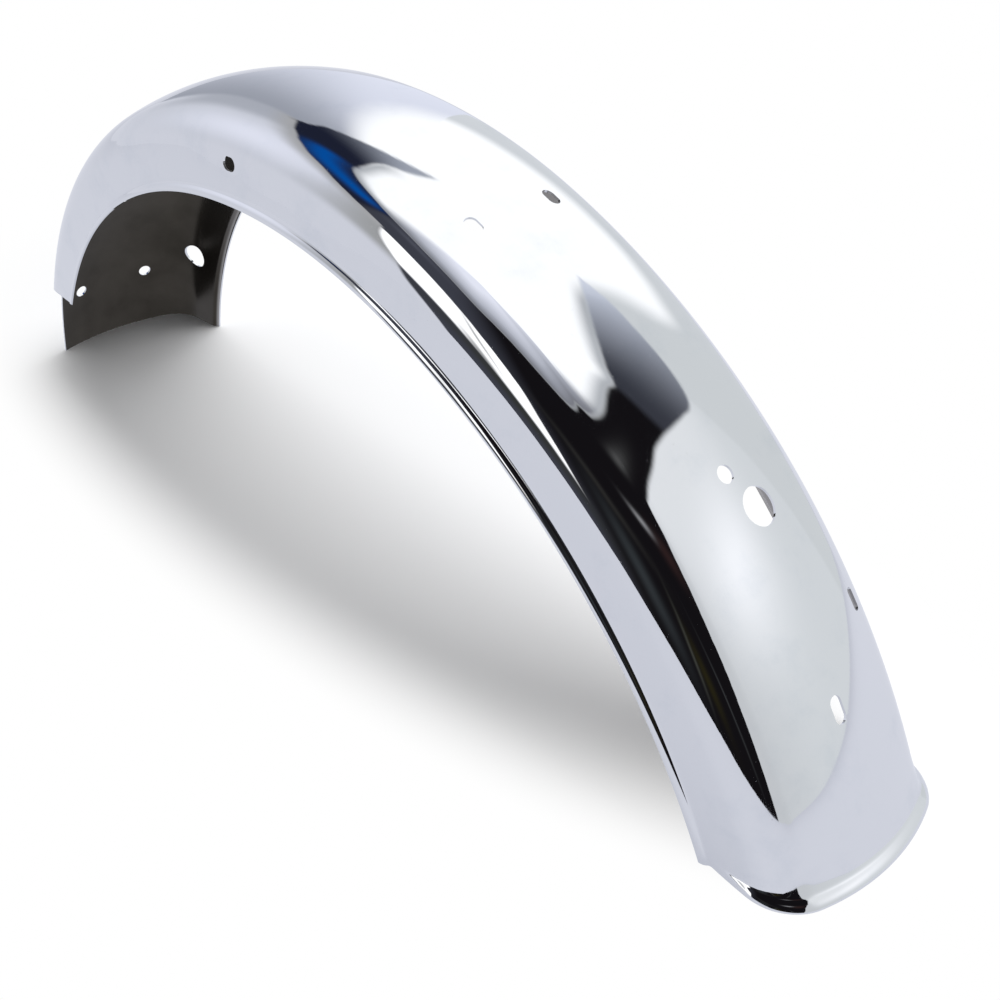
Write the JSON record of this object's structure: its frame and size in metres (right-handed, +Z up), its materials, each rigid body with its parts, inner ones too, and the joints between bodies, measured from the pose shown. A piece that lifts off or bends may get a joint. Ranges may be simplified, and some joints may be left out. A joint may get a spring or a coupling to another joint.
{
  "type": "motorcycle mudguard",
  "caption": "Chromed sheet-steel rear mudguard: a long arch of crowned C section with rolled side beads, a flared tail lip, fixing holes and a chain cut-out.",
  "frame": {"origin": "on the floor, midway between the front end and the tail, in the middle of the width", "axes": "+X along the bike towards the tail, +Y across the wheel towards the right-hand side, +Z up"},
  "size_m": [0.649, 0.119, 0.2439],
  "materials": {
    "chrome": "polished chrome plate outside, duller inside"
  },
  "bodies": {
    "root": {"mudguard": "chrome"}
  },
  "joints": []
}
